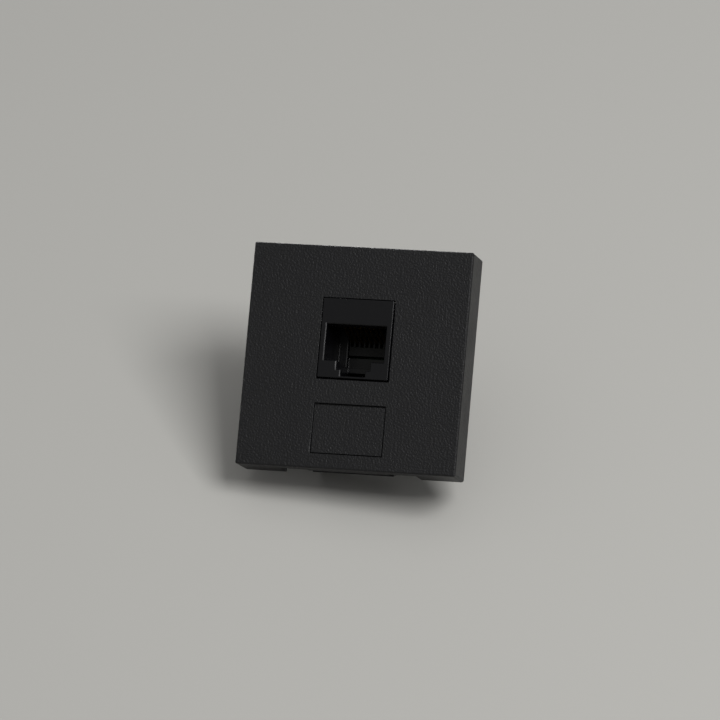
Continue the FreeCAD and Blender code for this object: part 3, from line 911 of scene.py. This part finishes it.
@dataclass
class SoftBox:
    """Square area lamp that points at the module."""

    name: str
    direction: tuple[float, float, float]
    distance_m: float
    size_m: float
    power_w: float
    colour: str = "FFFFFF"

    def build(self) -> None:
        """Places the lamp."""
        way = Vector(self.direction).normalized()
        deselect_all()
        bpy.ops.object.light_add(type="AREA", location=way * self.distance_m)
        lamp = bpy.context.object
        lamp.name = self.name
        lamp.rotation_mode = "QUATERNION"
        lamp.rotation_quaternion = way.to_track_quat("Z", "Y")
        lamp.data.shape = "SQUARE"
        lamp.data.size = self.size_m
        lamp.data.energy = self.power_w
        lamp.data.color = linear(self.colour)[:3]
        log.info("lamp %s", self.name)


@dataclass
class Studio:
    """Soft key light from the upper right, a fill behind the module and a room round them.

    The room is brightest overhead, and the camera and reflections see a plain backdrop instead.
    """

    room_colour: str = "FFFFFF"
    room_strength: float = 0.0586
    room_slope: tuple[float, float, float] = (0.084, -0.666, 0.524)
    room_power: float = 4.0
    backdrop_colour: str = "ADADAA"
    lamps: tuple[SoftBox, ...] = (
        SoftBox(
            "key_softbox", (0.569, -0.732, 0.373), distance_m=1.0, size_m=0.5, power_w=8.0),
        SoftBox(
            "back_softbox", (-0.35, 0.95, 0.6), distance_m=1.0, size_m=0.8, power_w=34.0),
    )

    def room_glow(self, tree: bpy.types.NodeTree) -> bpy.types.NodeSocket:
        """Adds the nodes that make the room brighter towards one side.

        Args:
            tree: node tree of the world.

        Returns:
            A socket with the strength of the room's light by direction.
        """
        way = add_node(tree, "ShaderNodeTexCoord", {}, {}).outputs["Generated"]
        slope = add_node(
            tree, "ShaderNodeVectorMath", {"operation": "DOT_PRODUCT", 1: self.room_slope},
            {0: way})
        share = add_node(
            tree, "ShaderNodeMath", {"operation": "ADD", 1: 1.0}, {0: slope.outputs["Value"]})
        lit = add_node(
            tree, "ShaderNodeMath", {"operation": "MAXIMUM", 1: 0.0}, {0: share.outputs[0]})
        glow = add_node(
            tree, "ShaderNodeMath", {"operation": "POWER", 1: self.room_power},
            {0: lit.outputs[0]})
        strength = add_node(
            tree, "ShaderNodeMath", {"operation": "MULTIPLY", 1: self.room_strength},
            {0: glow.outputs[0]})
        return strength.outputs[0]

    def build(self) -> None:
        """Sets the room and the lamps."""
        scene = bpy.context.scene
        scene.view_settings.view_transform = "Standard"
        world = bpy.data.worlds.new("studio_room")
        world.use_nodes = True
        scene.world = world
        tree = world.node_tree
        tree.nodes.clear()
        room = add_node(
            tree, "ShaderNodeBackground", {"Color": linear(self.room_colour)},
            {"Strength": self.room_glow(tree)})
        backdrop = add_node(
            tree, "ShaderNodeBackground", {"Color": linear(self.backdrop_colour)}, {})
        rays = add_node(tree, "ShaderNodeLightPath", {}, {}).outputs
        mirrored = add_node(
            tree, "ShaderNodeMath", {"operation": "MAXIMUM"},
            {0: rays["Is Glossy Ray"], 1: rays["Is Transmission Ray"]})
        shown = add_node(
            tree, "ShaderNodeMath", {"operation": "MAXIMUM"},
            {0: rays["Is Camera Ray"], 1: mirrored.outputs[0]})
        seen = add_node(
            tree, "ShaderNodeMixShader", {},
            {0: shown.outputs[0], 1: room.outputs["Background"],
             2: backdrop.outputs["Background"]})
        add_node(tree, "ShaderNodeOutputWorld", {}, {"Surface": seen.outputs["Shader"]})
        for lamp in self.lamps:
            lamp.build()


@dataclass
class PhotoCamera:
    """Camera at the photograph's viewing angle, with a long lens."""

    target_mm: tuple[float, float, float] = (1.214, 0.0, -0.308)
    distance_mm: float = 994.4
    azimuth_deg: float = 13.344
    elevation_deg: float = -7.868
    roll_deg: float = 5.096
    lens_mm: float = 250.0
    sensor_mm: float = 36.0
    near_m: float = 0.05
    far_m: float = 20.0

    def build(self) -> None:
        """Places the camera and makes it the scene's."""
        azimuth = math.radians(self.azimuth_deg)
        elevation = math.radians(self.elevation_deg)
        level = math.cos(elevation)
        back = Vector((
            math.sin(azimuth) * level, -math.cos(azimuth) * level, math.sin(elevation)))
        deselect_all()
        bpy.ops.object.camera_add(
            location=Vector(self.target_mm) * MM + back * self.distance_mm * MM)
        camera = bpy.context.object
        camera.name = "photo_camera"
        camera.rotation_mode = "QUATERNION"
        roll = Quaternion((0.0, 0.0, 1.0), math.radians(self.roll_deg))
        camera.rotation_quaternion = (-back).to_track_quat("-Z", "Y") @ roll
        camera.data.lens = self.lens_mm
        camera.data.sensor_width = self.sensor_mm
        camera.data.clip_start = self.near_m
        camera.data.clip_end = self.far_m
        bpy.context.scene.camera = camera


def main() -> None:
    """Builds the scene in order."""
    logging.basicConfig(level=logging.INFO, format="%(name)s: %(message)s")
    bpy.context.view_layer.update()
    FrontPlate().build()
    KeystoneJack().build()
    TerminalBlock().build()
    WireCap().build()
    Floor().build()
    Studio().build()
    PhotoCamera().build()


if __name__ == "__main__":
    main()
